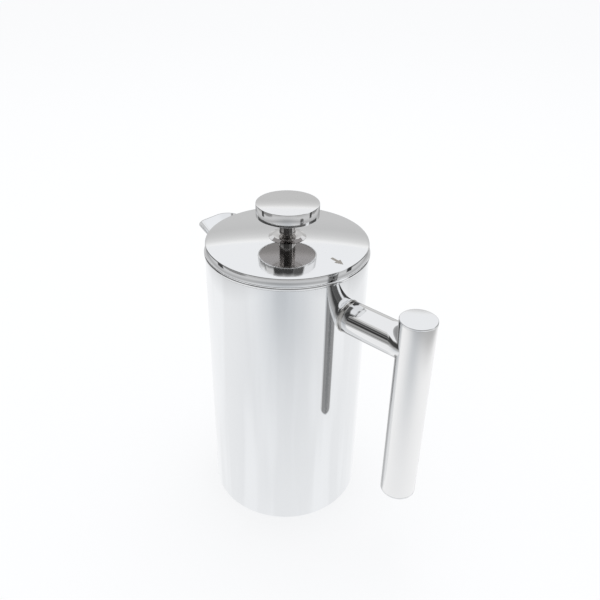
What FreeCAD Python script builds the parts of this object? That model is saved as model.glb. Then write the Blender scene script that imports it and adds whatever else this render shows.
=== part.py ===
import FreeCAD, Part
import math
import os
import Sketcher

# French press, one litre, double-walled polished steel, as a parametric assembly.
#
# Millimetres. +Z is up, the pot's axis is Z, the origin is the middle of the flat base,
# the handle is on +X and the pouring spout on -X. The plunger stands fully pressed down.

DIMENSIONS = {
    # pot
    "pot_diameter": 100.0,
    "pot_wall": 0.8,
    "shell_height": 180.6,
    "shell_corner": 2.5,
    "base_plate_inset": 6.0,
    "base_plate_thickness": 1.0,
    "insulation_gap": 3.2,
    "vessel_floor_height": 8.0,
    "vessel_corner": 6.0,
    "mouth_depth": 6.6,
    "mouth_shoulder": 6.0,
    "bead_height": 2.2,
    "bead_overhang": 0.5,
    "bead_round": 0.8,
    # spout
    "spout_overhang": 20.5,
    "spout_half_width": 23.05,
    "spout_corner": 10.0,
    "spout_nose_flat": 11.0,
    "spout_depth": 24.0,
    "spout_root_overhang": 1.2,
    "spout_root_half_width": 5.0,
    "spout_root_corner": 2.5,
    "spout_root_flat": 1.0,
    "spout_wall": 0.8,
    "spout_overlap": 3.0,
    # handle
    "arm_step": 0.75,
    "arm_wall": 1.2,
    "arm_below_rim": 25.8,
    "weld_size": 0.8,
    "finger_gap": 36.1,
    "grip_diameter": 21.4,
    "grip_wall": 1.2,
    "grip_above_arm": 18.9,
    "grip_length": 125.9,
    "cap_thickness": 1.2,
    "cap_spigot": 3.0,
    "cap_edge": 0.4,
    # lid
    "lid_wall": 1.0,
    "lid_height": 5.45,
    "lid_taper": 0.4,
    "lid_crown": 2.2,
    "lid_edge": 0.5,
    "strainer_depth": 17.2,
    "strainer_wall": 0.6,
    "strainer_gap": 0.5,
    "strainer_flange": 5.0,
    "slot_width": 2.0,
    "slot_length": 8.0,
    "slot_height": 3.0,
    "slot_count": 13,
    "slot_arc": 96.0,
    "boss_width": 3.0,
    "boss_height": 1.0,
    "boss_slope": 2.4,
    "bushing_wall": 2.75,
    "bushing_length": 5.0,
    "clip_width": 4.0,
    "clip_thickness": 1.0,
    # knob and rod
    "rod_diameter": 6.4,
    "thread_step": 0.7,
    "knob_diameter": 38.0,
    "knob_height": 8.0,
    "knob_wall": 0.9,
    "knob_edge": 0.4,
    "knob_plate_inset": 0.2,
    "knob_plate_thickness": 1.2,
    "collar_wall": 2.0,
    "collar_length": 11.7,
    "collar_lift": 1.15,
    "collar_socket": 2.0,
    "collar_bore_end": 2.0,
    "spigot_step": 1.25,
    "spigot_length": 2.4,
    # filter stack
    "foot_gap": 0.3,
    "filter_nut_wall": 4.45,
    "filter_nut_height": 4.5,
    "nut_bore_end": 1.4,
    "cross_plate_gap": 2.2,
    "cross_plate_thickness": 0.8,
    "cross_hole_diameter": 14.0,
    "cross_hole_inset": 16.0,
    "cross_hole_count": 8,
    "mesh_thickness": 0.3,
    "lower_mesh_gap": 2.7,
    "spacer_width": 5.45,
    "spacer_thickness": 0.8,
    "mesh_rim_height": 3.0,
    "spring_coil_diameter": 2.8,
    "filter_side_gap": 0.35,
    "spiral_plate_thickness": 0.8,
    "spiral_rim_height": 3.2,
    "spiral_hole_diameter": 6.0,
    "spiral_hole_inset": 12.55,
    "spiral_hole_count": 12,
    "washer_width": 4.45,
    "washer_thickness": 1.0,
    "jam_nut_wall": 2.45,
    "jam_nut_corner": 0.7,
    "jam_nut_height": 4.0,
    "rod_shoulder_gap": 0.4,
    # fits
    "joint_gap": 0.05,
    "running_gap": 0.05,
    "spring_gap": 0.1,
}

doc = FreeCAD.newDocument("french_press")
sheet = doc.addObject("Spreadsheet::Sheet", "Dims")
for row, (alias, number) in enumerate(DIMENSIONS.items(), start=1):
    sheet.set(f"A{row}", alias)
    sheet.set(f"B{row}", str(number))
    sheet.setAlias(f"B{row}", alias)
doc.recompute()


class Size:
    """A length that knows its number and the sheet expression that gives it."""

    def __init__(self, number, text):
        self.number = number
        self.text = text

    def combine(self, other, sign, number):
        return Size(number, f"({self.text} {sign} {as_size(other).text})")

    def __add__(self, other):
        return self.combine(other, "+", self.number + as_size(other).number)

    def __sub__(self, other):
        return self.combine(other, "-", self.number - as_size(other).number)

    def __mul__(self, other):
        return self.combine(other, "*", self.number * as_size(other).number)

    def __truediv__(self, other):
        return self.combine(other, "/", self.number / as_size(other).number)

    def __neg__(self):
        return Size(-self.number, f"(0 - {self.text})")


def as_size(value):
    return value if isinstance(value, Size) else Size(float(value), str(float(value)))


def dim(alias):
    return Size(float(DIMENSIONS[alias]), f"Dims.{alias}")


ZERO = as_size(0)

# ---------------------------------------------------------------- sketch and feature helpers


def new_body(label):
    body = doc.addObject("PartDesign::Body", label)
    body.Label = label
    return body


def origin_part(body, role):
    return next(item for item in body.Origin.OriginFeatures if item.Role == role)


def new_sketch(body, name, plane, offset=None):
    """Sketch on one of the body's own planes, moved along its normal by an offset."""
    sketch = body.newObject("Sketcher::SketchObject", name)
    sketch.AttachmentSupport = (origin_part(body, plane), "")
    sketch.MapMode = "FlatFace"
    if offset is not None:
        sketch.setExpression(".AttachmentOffset.Base.z", offset.text)
    return sketch


def pin_point(sketch, geometry, point, x, y):
    """Hold a sketch point at two sheet-driven coordinates."""
    for kind, size, axis in (("DistanceX", x, -2), ("DistanceY", y, -1)):
        if size is ZERO:
            sketch.addConstraint(Sketcher.Constraint("PointOnObject", geometry, point, axis))
            continue
        index = sketch.addConstraint(
            Sketcher.Constraint(kind, -1, 1, geometry, point, size.number))
        sketch.setExpression(f"Constraints[{index}]", size.text)


def crown_arc(start, end):
    """Arc between two outline points whose centre lies on the turning axis."""
    rise = start.y - end.y
    spread = end.x ** 2 - start.x ** 2
    centre = FreeCAD.Vector(0, (start.y + end.y) / 2 - spread / (2 * rise), 0)
    radius = (end - centre).Length
    top = FreeCAD.Vector((start.x + end.x) / 2, 0, 0)
    top.y = centre.y + math.sqrt(radius ** 2 - top.x ** 2)
    return Part.Arc(start, top, end)


def draw_polygon(sketch, corners, crowned=()):
    """Closed outline through corners, each a pair of sizes.

    The sides listed in crowned are arcs about a point of the axis. A sketch arc always runs
    anticlockwise, so such a side starts at its second corner.
    """
    first = sketch.GeometryCount
    points = [FreeCAD.Vector(x.number, y.number, 0) for x, y in corners]
    count = len(points)
    ends = []
    for i in range(count):
        start, end = points[i], points[(i + 1) % count]
        side = Part.LineSegment(start, end)
        if i in crowned:
            inner, outer = sorted((start, end), key=lambda point: point.x)
            side = crown_arc(inner, outer)
        sketch.addGeometry(side, False)
        turned_round = i in crowned and start.x < end.x
        ends.append((2, 1) if turned_round else (1, 2))
    for i in range(count):
        following = (i + 1) % count
        sketch.addConstraint(Sketcher.Constraint(
            "Coincident", first + i, ends[i][1], first + following, ends[following][0]))
    for i, (x, y) in enumerate(corners):
        pin_point(sketch, first + i, ends[i][0], x, y)
    for i in crowned:
        sketch.addConstraint(Sketcher.Constraint("PointOnObject", first + i, 3, -2))


def draw_circle(sketch, x, y, radius):
    centre = FreeCAD.Vector(x.number, y.number, 0)
    circle = Part.Circle(centre, FreeCAD.Vector(0, 0, 1), radius.number)
    geometry = sketch.addGeometry(circle, False)
    pin_point(sketch, geometry, 3, x, y)
    index = sketch.addConstraint(Sketcher.Constraint("Radius", geometry, radius.number))
    sketch.setExpression(f"Constraints[{index}]", radius.text)


def rectangle(left, bottom, right, top):
    return [(left, bottom), (right, bottom), (right, top), (left, top)]


def revolve(body, name, corners, kind="PartDesign::Revolution", crowned=()):
    """Turn an outline of (radius, height) corners about the Z axis, adding or grooving."""
    sketch = new_sketch(body, f"{name}_profile", "XZ_Plane")
    draw_polygon(sketch, corners, crowned)
    feature = body.newObject(kind, name)
    feature.Profile = sketch
    feature.ReferenceAxis = (sketch, ["V_Axis"])
    feature.Angle = 360.0
    body.Tip = feature
    doc.recompute()
    return feature


def groove(body, name, corners):
    return revolve(body, name, corners, "PartDesign::Groove")


def extrude(body, name, sketch, length, kind="PartDesign::Pad", backwards=False):
    feature = body.newObject(kind, name)
    feature.Profile = sketch
    feature.setExpression("Length", length.text)
    feature.Reversed = backwards
    body.Tip = feature
    doc.recompute()
    return feature


def cut_through(body, name, sketch):
    """Pocket through the whole body on both sides of the sketch."""
    before = body.Shape.Volume
    feature = body.newObject("PartDesign::Pocket", name)
    feature.Profile = sketch
    feature.Type = "ThroughAll"
    feature.Midplane = True
    body.Tip = feature
    doc.recompute()
    if body.Shape.Volume >= before:
        raise RuntimeError(f"{body.Label}: {name} removes nothing")
    return feature


def polar(body, name, feature, count, angle=360.0):
    pattern = body.newObject("PartDesign::PolarPattern", name)
    pattern.Originals = [feature]
    pattern.Axis = (origin_part(body, "Z_Axis"), [""])
    pattern.Angle = angle
    pattern.setExpression("Occurrences", count.text)
    body.Tip = pattern
    doc.recompute()
    return pattern


def ring_edges(shape, rings):
    """Names of the circular edges about Z with the given (radius, height) pairs."""
    names = []
    for i, edge in enumerate(shape.Edges, start=1):
        curve = edge.Curve
        if not isinstance(curve, Part.Circle):
            continue
        for radius, height in rings:
            if abs(curve.Radius - radius.number) < 1e-4 and abs(curve.Center.z - height.number) < 1e-4:
                names.append(f"Edge{i}")
    return names


def soften(body, name, size, rings, kind="PartDesign::Fillet"):
    """Fillet or chamfer the body's round edges given by radius and height."""
    base = body.Tip
    edges = ring_edges(base.Shape, rings)
    if not edges:
        raise RuntimeError(f"{body.Label}: {name} finds no edge")
    feature = body.newObject(kind, name)
    feature.Base = (base, edges)
    feature.setExpression("Radius" if kind.endswith("Fillet") else "Size", size.text)
    body.Tip = feature
    doc.recompute()
    return feature


def chamfer(body, name, size, rings):
    return soften(body, name, size, rings, "PartDesign::Chamfer")


def place(body, x=None, z=None, turn=None):
    if x is not None:
        body.setExpression(".Placement.Base.x", x.text)
    if z is not None:
        body.setExpression(".Placement.Base.z", z.text)
    if turn is not None:
        body.Placement = FreeCAD.Placement(
            body.Placement.Base, FreeCAD.Rotation(FreeCAD.Vector(0, 0, 1), turn.number))
        body.setExpression(".Placement.Rotation.Angle", turn.text)


# ---------------------------------------------------------------- sizes that follow from the sheet

gap = dim("joint_gap")
run = dim("running_gap")
wall = dim("pot_wall")
pot_radius = dim("pot_diameter") / 2
shell_inside = pot_radius - wall
shell_top = dim("shell_height")
base_radius = pot_radius - dim("base_plate_inset")

vessel_outside = shell_inside - dim("insulation_gap")
vessel_inside = vessel_outside - wall
floor_under = dim("vessel_floor_height")
floor_top = floor_under + wall
mouth_outside = shell_inside - gap
mouth_inside = mouth_outside - wall
mouth_bottom = shell_top - dim("mouth_depth")
shoulder_bottom = mouth_bottom - dim("mouth_shoulder")

rim_top = shell_top + dim("bead_height")
lid_radius = pot_radius
lid_top_radius = lid_radius - dim("lid_taper")
lid_inside = lid_radius - dim("lid_wall")
lid_top_inside = lid_top_radius - dim("lid_wall")
lid_edge_top = rim_top + dim("lid_height")
lid_edge_under = lid_edge_top - dim("lid_wall")
crown_top = lid_edge_top + dim("lid_crown")

rod_radius = dim("rod_diameter") / 2
thread_radius = rod_radius - dim("thread_step")
thread_bore = thread_radius + run

strainer_radius = vessel_inside - dim("strainer_gap")
strainer_bottom = lid_edge_under - dim("strainer_depth")
bushing_radius = rod_radius + run + dim("bushing_wall")
bushing_bottom = crown_top - dim("bushing_length")
boss_radius = bushing_radius + dim("boss_width")
boss_top = crown_top + dim("boss_height")
clip_radius = bushing_radius + dim("clip_width")

collar_radius = rod_radius + run + dim("collar_wall")
collar_bottom = boss_top + dim("collar_lift")
collar_top = collar_bottom + dim("collar_length")
spigot_radius = collar_radius - dim("spigot_step")
knob_radius = dim("knob_diameter") / 2
knob_bottom = collar_top - dim("knob_plate_inset")
knob_top = knob_bottom + dim("knob_height")
rod_top_shoulder = collar_bottom + dim("collar_socket")

nut_bottom = floor_top + dim("foot_gap")
nut_top = nut_bottom + dim("filter_nut_height")
cross_top = nut_top + dim("cross_plate_thickness")
cross_radius = vessel_inside - dim("cross_plate_gap")
lower_mesh_top = cross_top + dim("mesh_thickness")
spacer_top = lower_mesh_top + dim("spacer_thickness")
upper_mesh_top = spacer_top + dim("mesh_thickness")
mesh_rim_top = spacer_top + dim("mesh_rim_height")
mesh_radius = vessel_inside - dim("filter_side_gap")
spring_section = dim("spring_coil_diameter") / 2
spring_outside = mesh_radius - dim("mesh_thickness") - dim("spring_gap")
spiral_radius = spring_outside - dim("spring_coil_diameter") - dim("spring_gap")
spiral_top = upper_mesh_top + dim("spiral_plate_thickness")
washer_top = spiral_top + dim("washer_thickness")
jam_top = washer_top + dim("jam_nut_height")
rod_low_shoulder = jam_top + dim("rod_shoulder_gap")

spout_bottom = shell_top - dim("spout_depth")
spout_inner_edge = vessel_inside - dim("spout_overlap")

grip_radius = dim("grip_diameter") / 2
grip_offset = pot_radius + dim("finger_gap") + grip_radius
arm_radius = grip_radius - dim("arm_step")
arm_height = shell_top - dim("arm_below_rim")
grip_bottom = arm_height + dim("grip_above_arm") - dim("grip_length")
grip_tube_length = dim("grip_length") - dim("cap_thickness") * 2


def under_lid(radius):
    """Height of the crowned lid's underside at a radius."""
    share = radius / lid_top_inside
    return lid_edge_under + dim("lid_crown") * (as_size(1) - share * share)


# ---------------------------------------------------------------- spout shapes


def beak_sketch(body, name, height, overhang, half_width, corner, nose_flat, grow):
    """Outline of the spout from above: two flanks, two round corners and a short flat nose.

    It is open towards the pot, and grow moves its flanks and nose outwards.
    """
    sketch = new_sketch(body, name, "XY_Plane", height)
    root_x = -spout_inner_edge
    root_y = half_width + grow
    radius = corner + grow
    centre_x = corner - pot_radius - overhang
    centre_y = nose_flat / 2
    run_x = root_x.number - centre_x.number
    run_y = root_y.number - centre_y.number
    touch_angle = math.atan2(run_y, run_x) + math.acos(radius.number / math.hypot(run_x, run_y))
    nose_x = centre_x.number - radius.number

    def mirrored(point):
        return FreeCAD.Vector(point.x, -point.y, 0)

    root = FreeCAD.Vector(root_x.number, root_y.number, 0)
    touch = FreeCAD.Vector(centre_x.number + radius.number * math.cos(touch_angle),
                           centre_y.number + radius.number * math.sin(touch_angle), 0)
    nose = FreeCAD.Vector(nose_x, centre_y.number, 0)
    upward = FreeCAD.Vector(0, 0, 1)
    upper_centre = FreeCAD.Vector(centre_x.number, centre_y.number, 0)
    upper_circle = Part.Circle(upper_centre, upward, radius.number)
    lower_circle = Part.Circle(mirrored(upper_centre), upward, radius.number)
    upper = sketch.addGeometry(Part.LineSegment(root, touch), False)
    upper_corner = sketch.addGeometry(Part.ArcOfCircle(upper_circle, touch_angle, math.pi), False)
    front = sketch.addGeometry(Part.LineSegment(nose, mirrored(nose)), False)
    lower_corner = sketch.addGeometry(
        Part.ArcOfCircle(lower_circle, math.pi, 2 * math.pi - touch_angle), False)
    lower = sketch.addGeometry(Part.LineSegment(mirrored(touch), mirrored(root)), False)
    back = sketch.addGeometry(Part.LineSegment(mirrored(root), root), False)
    for one, other in ((upper, upper_corner), (upper_corner, front), (front, lower_corner),
                       (lower_corner, lower)):
        sketch.addConstraint(Sketcher.Constraint("Tangent", one, 2, other, 1))
    sketch.addConstraint(Sketcher.Constraint("Coincident", lower, 2, back, 1))
    sketch.addConstraint(Sketcher.Constraint("Coincident", back, 2, upper, 1))
    pin_point(sketch, upper, 1, root_x, root_y)
    pin_point(sketch, lower, 2, root_x, -root_y)
    for arc, side in ((upper_corner, centre_y), (lower_corner, -centre_y)):
        pin_point(sketch, arc, 3, centre_x, side)
        index = sketch.addConstraint(Sketcher.Constraint("Radius", arc, radius.number))
        sketch.setExpression(f"Constraints[{index}]", radius.text)
    return sketch


def top_beak(body, name, height, grow):
    return beak_sketch(body, name, height, dim("spout_overhang"), dim("spout_half_width"),
                       dim("spout_corner"), dim("spout_nose_flat"), grow)


def beak_loft(body, name, kind, grow, floor):
    """Loft from the spout's small root up to its wide mouth, adding or cutting."""
    low = beak_sketch(body, f"{name}_root", spout_bottom + floor, dim("spout_root_overhang"),
                      dim("spout_root_half_width"), dim("spout_root_corner"),
                      dim("spout_root_flat"), grow)
    high = top_beak(body, f"{name}_mouth", shell_top, grow)
    feature = body.newObject(kind, name)
    feature.Profile = low
    feature.Sections = [high]
    feature.Ruled = True
    body.Tip = feature
    doc.recompute()
    return feature


# ---------------------------------------------------------------- pot


def outer_shell():
    body = new_body("outer_shell")
    flange_edge = base_radius + gap
    revolve(body, "shell", [
        (flange_edge, ZERO), (pot_radius, ZERO), (pot_radius, shell_top),
        (shell_inside, shell_top), (shell_inside, wall), (flange_edge, wall)])
    soften(body, "outer_corner", dim("shell_corner"), [(pot_radius, ZERO)])
    soften(body, "inner_corner", dim("shell_corner") - wall, [(shell_inside, wall)])
    beak_loft(body, "spout_notch", "PartDesign::SubtractiveLoft", gap, -gap)
    return body


def inner_vessel():
    body = new_body("inner_vessel")
    revolve(body, "vessel", [
        (ZERO, floor_under), (vessel_outside, floor_under), (vessel_outside, shoulder_bottom),
        (mouth_outside, mouth_bottom), (mouth_outside, shell_top), (mouth_inside, shell_top),
        (mouth_inside, mouth_bottom), (vessel_inside, shoulder_bottom),
        (vessel_inside, floor_top), (ZERO, floor_top)])
    soften(body, "inside_corner", dim("vessel_corner"), [(vessel_inside, floor_top)])
    soften(body, "outside_corner", dim("vessel_corner") + wall, [(vessel_outside, floor_under)])
    beak_loft(body, "spout_notch", "PartDesign::SubtractiveLoft", gap, -gap)
    return body


def base_plate():
    body = new_body("base_plate")
    thickness = dim("base_plate_thickness")
    revolve(body, "plate", rectangle(ZERO, ZERO, base_radius, thickness))
    return body


def rim_bead():
    body = new_body("rim_bead")
    outside = pot_radius + dim("bead_overhang")
    revolve(body, "bead", rectangle(mouth_inside, shell_top, outside, rim_top))
    soften(body, "rolled_edges", dim("bead_round"), [
        (mouth_inside, rim_top), (outside, rim_top), (outside, shell_top)])
    mouth = top_beak(body, "spout_gap_outline", shell_top, gap)
    extrude(body, "spout_gap", mouth, dim("bead_height"), "PartDesign::Pocket", backwards=True)
    return body


def pour_spout():
    body = new_body("pour_spout")
    beak_loft(body, "beak", "PartDesign::AdditiveLoft", ZERO, ZERO)
    beak_loft(body, "trough", "PartDesign::SubtractiveLoft", -dim("spout_wall"), dim("spout_wall"))
    groove(body, "vessel_clearance", [
        (ZERO, floor_top), (vessel_inside, floor_top), (vessel_inside, shoulder_bottom),
        (mouth_inside, mouth_bottom), (mouth_inside, rim_top), (ZERO, rim_top)])
    return body


# ---------------------------------------------------------------- handle


def arm_sketch(body, name, radius):
    sketch = new_sketch(body, name, "YZ_Plane")
    draw_circle(sketch, ZERO, arm_height, radius)
    return sketch


def groove_arm(body, name, inside, outside):
    """Groove everything between two radii about the pot's axis, at the arm's height."""
    reach = arm_radius * 2
    groove(body, name, rectangle(inside, arm_height - reach, outside, arm_height + reach))


def handle_arm():
    body = new_body("handle_arm")
    extrude(body, "arm", arm_sketch(body, "arm_outline", arm_radius), grip_offset)
    groove_arm(body, "pot_saddle", ZERO, pot_radius + gap)
    grip_cut = new_sketch(body, "grip_outline", "XY_Plane")
    draw_circle(grip_cut, grip_offset, ZERO, grip_radius + gap)
    cut_through(body, "grip_saddle", grip_cut)
    cut_through(body, "arm_hollow", arm_sketch(body, "bore_outline", arm_radius - dim("arm_wall")))
    return body


def arm_weld():
    body = new_body("arm_weld")
    size = dim("weld_size")
    extrude(body, "bead", arm_sketch(body, "bead_outline", arm_radius + size), grip_offset)
    groove_arm(body, "pot_saddle", ZERO, pot_radius + gap)
    groove_arm(body, "bead_face", pot_radius + size, grip_offset + pot_radius)
    cut_through(body, "arm_clearance", arm_sketch(body, "arm_outline", arm_radius + gap))
    return body


def handle_grip():
    body = new_body("handle_grip")
    inside = grip_radius - dim("grip_wall")
    revolve(body, "tube", rectangle(inside, ZERO, grip_radius, grip_tube_length))
    place(body, x=grip_offset, z=grip_bottom + dim("cap_thickness"))
    return body


def grip_cap(label, height, turned_over):
    body = new_body(label)
    thickness = dim("cap_thickness")
    plug = grip_radius - dim("grip_wall") - gap
    face = -thickness if turned_over else thickness
    inner = dim("cap_spigot") if turned_over else -dim("cap_spigot")
    revolve(body, "cap", [
        (ZERO, inner), (plug, inner), (plug, ZERO), (grip_radius, ZERO),
        (grip_radius, face), (ZERO, face)])
    chamfer(body, "cap_edge_chamfer", dim("cap_edge"), [(grip_radius, face)])
    place(body, x=grip_offset, z=height)
    return body


def grip_caps():
    low = grip_bottom + dim("cap_thickness")
    grip_cap("grip_bottom_cap", low, True)
    grip_cap("grip_top_cap", low + grip_tube_length, False)


# ---------------------------------------------------------------- lid


def lid_cover():
    """Slightly crowned lid with a tapered skirt; the rod bushing passes its middle."""
    body = new_body("lid_cover")
    hole = bushing_radius + run
    revolve(body, "cover", [
        (hole, lid_edge_under + dim("lid_crown")), (lid_top_inside, lid_edge_under),
        (lid_inside, rim_top), (lid_radius, rim_top), (lid_top_radius, lid_edge_top),
        (hole, crown_top)], crowned=(0, 4))
    soften(body, "cover_edge", dim("lid_edge"), [(lid_top_radius, lid_edge_top)])
    return body


def strainer_ring():
    """Ring that hangs in the mouth, slotted on the side that faces the spout."""
    body = new_body("strainer_ring")
    thickness = dim("strainer_wall")
    inside = strainer_radius - thickness
    flange = strainer_radius - dim("strainer_flange")
    outer_seat = under_lid(strainer_radius) - gap
    inner_seat = under_lid(flange) - gap
    revolve(body, "ring", [
        (inside, strainer_bottom), (strainer_radius, strainer_bottom),
        (strainer_radius, outer_seat), (flange, inner_seat), (flange, inner_seat - thickness),
        (inside, outer_seat - thickness)])
    slot = new_sketch(body, "slot_outline", "YZ_Plane")
    low = strainer_bottom + dim("slot_height")
    half = dim("slot_width") / 2
    draw_polygon(slot, rectangle(-half, low, half, low + dim("slot_length")))
    cut = extrude(body, "slot", slot, strainer_radius * 2, "PartDesign::Pocket")
    polar(body, "slots", cut, dim("slot_count"), dim("slot_arc").number)
    body.Tip.setExpression("Angle", dim("slot_arc").text)
    place(body, turn=-dim("slot_arc") / 2)
    return body


def rod_bushing():
    body = new_body("rod_bushing")
    hole = rod_radius + run
    revolve(body, "bushing", [
        (hole, bushing_bottom), (bushing_radius, bushing_bottom), (bushing_radius, crown_top),
        (boss_radius + dim("boss_slope"), crown_top), (boss_radius, boss_top), (hole, boss_top)])
    return body


def bushing_clip():
    body = new_body("bushing_clip")
    top = under_lid(clip_radius) - gap
    revolve(body, "clip", rectangle(bushing_radius + gap, top - dim("clip_thickness"),
                                    clip_radius, top))
    return body


# ---------------------------------------------------------------- knob and rod


def knob_cap():
    body = new_body("knob_cap")
    thickness = dim("knob_wall")
    inside = knob_radius - thickness
    revolve(body, "cup", [
        (inside, knob_bottom), (knob_radius, knob_bottom), (knob_radius, knob_top),
        (ZERO, knob_top), (ZERO, knob_top - thickness), (inside, knob_top - thickness)])
    soften(body, "edges", dim("knob_edge"), [(knob_radius, knob_top), (knob_radius, knob_bottom)])
    return body


def knob_plate():
    body = new_body("knob_plate")
    radius = knob_radius - dim("knob_wall") - gap
    hole = spigot_radius + gap
    revolve(body, "plate", rectangle(hole, collar_top, radius,
                                     collar_top + dim("knob_plate_thickness")))
    return body


def knob_collar():
    body = new_body("knob_collar")
    socket = rod_radius + run
    spigot_top = collar_top + dim("spigot_length")
    bore_top = collar_top - dim("collar_bore_end")
    revolve(body, "collar", [
        (socket, collar_bottom), (collar_radius, collar_bottom), (collar_radius, collar_top),
        (spigot_radius, collar_top), (spigot_radius, spigot_top), (ZERO, spigot_top),
        (ZERO, bore_top),
        (thread_bore, bore_top), (thread_bore, rod_top_shoulder + gap),
        (socket, rod_top_shoulder + gap)])
    return body


def plunger_rod():
    body = new_body("plunger_rod")
    low = nut_bottom + dim("nut_bore_end") + gap
    high = collar_top - dim("collar_bore_end") - gap
    revolve(body, "rod", [
        (ZERO, low), (thread_radius, low), (thread_radius, rod_low_shoulder),
        (rod_radius, rod_low_shoulder), (rod_radius, rod_top_shoulder),
        (thread_radius, rod_top_shoulder), (thread_radius, high), (ZERO, high)])
    return body


# ---------------------------------------------------------------- filter stack


def hexagon_cut(body, name, flats, bottom, height):
    """Leave a hexagonal prism by cutting a round blank with a hexagonal frame."""
    sketch = new_sketch(body, f"{name}_outline", "XY_Plane", bottom)
    half = flats / 2
    corner = flats / math.sqrt(3)
    side = corner / 2
    draw_circle(sketch, ZERO, ZERO, flats)
    draw_polygon(sketch, [(corner, ZERO), (side, half), (-side, half),
                          (-corner, ZERO), (-side, -half), (side, -half)])
    extrude(body, name, sketch, height, "PartDesign::Pocket", backwards=True)


def jam_nut():
    body = new_body("jam_nut")
    flats = (thread_bore + dim("jam_nut_wall")) * 2
    blank = flats / 2 + dim("jam_nut_corner")
    revolve(body, "blank", rectangle(thread_radius + gap, washer_top, blank, jam_top))
    chamfer(body, "corner_chamfer", dim("cap_edge"), [(blank, jam_top)])
    hexagon_cut(body, "hexagon", flats, washer_top, dim("jam_nut_height"))
    return body


def ring_plate(label, radius, bottom, top):
    body = new_body(label)
    revolve(body, "plate", rectangle(thread_bore, bottom, radius, top))
    return body


def drill_ring(body, name, distance, diameter, count):
    """Even ring of round holes through a plate, at a distance from its middle."""
    sketch = new_sketch(body, f"{name}_outline", "XY_Plane")
    draw_circle(sketch, distance, ZERO, diameter / 2)
    polar(body, f"{name}_ring", cut_through(body, name, sketch), count)


def cross_plate():
    body = ring_plate("cross_plate", cross_radius, nut_top, cross_top)
    drill_ring(body, "flow_hole", cross_radius - dim("cross_hole_inset"),
               dim("cross_hole_diameter"), dim("cross_hole_count"))
    return body


def lower_mesh():
    radius = vessel_inside - dim("lower_mesh_gap")
    return ring_plate("lower_mesh", radius, cross_top, lower_mesh_top)


def mesh_spacer():
    radius = thread_bore + dim("spacer_width")
    return ring_plate("mesh_spacer", radius, lower_mesh_top, spacer_top)


def upper_mesh():
    """Shallow mesh dish whose rim stands between the spring and the vessel wall."""
    body = new_body("upper_mesh")
    rim_inside = mesh_radius - dim("mesh_thickness")
    revolve(body, "dish", [
        (thread_bore, spacer_top), (mesh_radius, spacer_top), (mesh_radius, mesh_rim_top),
        (rim_inside, mesh_rim_top), (rim_inside, upper_mesh_top), (thread_bore, upper_mesh_top)])
    return body


def coil_spring():
    """Outer form of the coil that presses the mesh rim against the wall."""
    torus = doc.addObject("Part::Torus", "coil_spring")
    torus.Label = "coil_spring"
    torus.setExpression("Radius1", (spring_outside - spring_section).text)
    torus.setExpression("Radius2", spring_section.text)
    centre = upper_mesh_top + dim("spring_gap") + spring_section
    torus.setExpression(".Placement.Base.z", centre.text)
    return torus


def spiral_plate():
    body = new_body("spiral_plate")
    thickness = dim("spiral_plate_thickness")
    rim_inside = spiral_radius - thickness
    rim_top_height = upper_mesh_top + dim("spiral_rim_height")
    revolve(body, "dish", [
        (thread_bore, upper_mesh_top), (spiral_radius, upper_mesh_top),
        (spiral_radius, rim_top_height), (rim_inside, rim_top_height),
        (rim_inside, spiral_top), (thread_bore, spiral_top)])
    drill_ring(body, "vent_hole", spiral_radius - dim("spiral_hole_inset"),
               dim("spiral_hole_diameter"), dim("spiral_hole_count"))
    return body


def stack_washer():
    radius = thread_bore + dim("washer_width")
    return ring_plate("stack_washer", radius, spiral_top, washer_top)


def filter_nut():
    body = new_body("filter_nut")
    outside = thread_bore + dim("filter_nut_wall")
    bore_bottom = nut_bottom + dim("nut_bore_end")
    revolve(body, "nut", [
        (ZERO, nut_bottom), (outside, nut_bottom), (outside, nut_top), (thread_bore, nut_top),
        (thread_bore, bore_bottom), (ZERO, bore_bottom)])
    chamfer(body, "nut_edge", dim("cap_edge"), [(outside, nut_bottom)])
    return body


# ---------------------------------------------------------------- build, check and write

for make in (outer_shell, inner_vessel, base_plate, rim_bead, pour_spout, handle_arm, arm_weld,
             handle_grip, grip_caps, lid_cover, strainer_ring, rod_bushing, bushing_clip,
             knob_cap, knob_plate, knob_collar, plunger_rod, jam_nut, stack_washer, spiral_plate,
             coil_spring, upper_mesh, mesh_spacer, lower_mesh, cross_plate, filter_nut):
    make()
doc.recompute()

failed = [item.Label for item in doc.Objects if {"Invalid", "Error"} & set(item.State)]
if failed:
    raise RuntimeError(f"failed objects: {failed}")

pieces = [item for item in doc.Objects if item.TypeId in ("PartDesign::Body", "Part::Torus")]
for piece in pieces:
    if piece.Shape.isNull() or not piece.Shape.isValid() or len(piece.Shape.Solids) != 1:
        raise RuntimeError(f"{piece.Label} isn't one valid solid")

os.makedirs("parts", exist_ok=True)
for piece in pieces:
    piece.Shape.exportStep(os.path.join("parts", f"{piece.Label}.step"))
    box = piece.Shape.BoundBox
    print(f"{piece.Label}: {piece.Shape.Volume:.1f} mm3, z {box.ZMin:.2f} to {box.ZMax:.2f}")
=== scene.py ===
"""Looks of a one-litre polished steel french press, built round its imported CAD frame."""

from __future__ import annotations

import logging
import math
from dataclasses import dataclass, field
from enum import Enum

import bmesh
import bpy
from mathutils import Matrix, Vector


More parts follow.
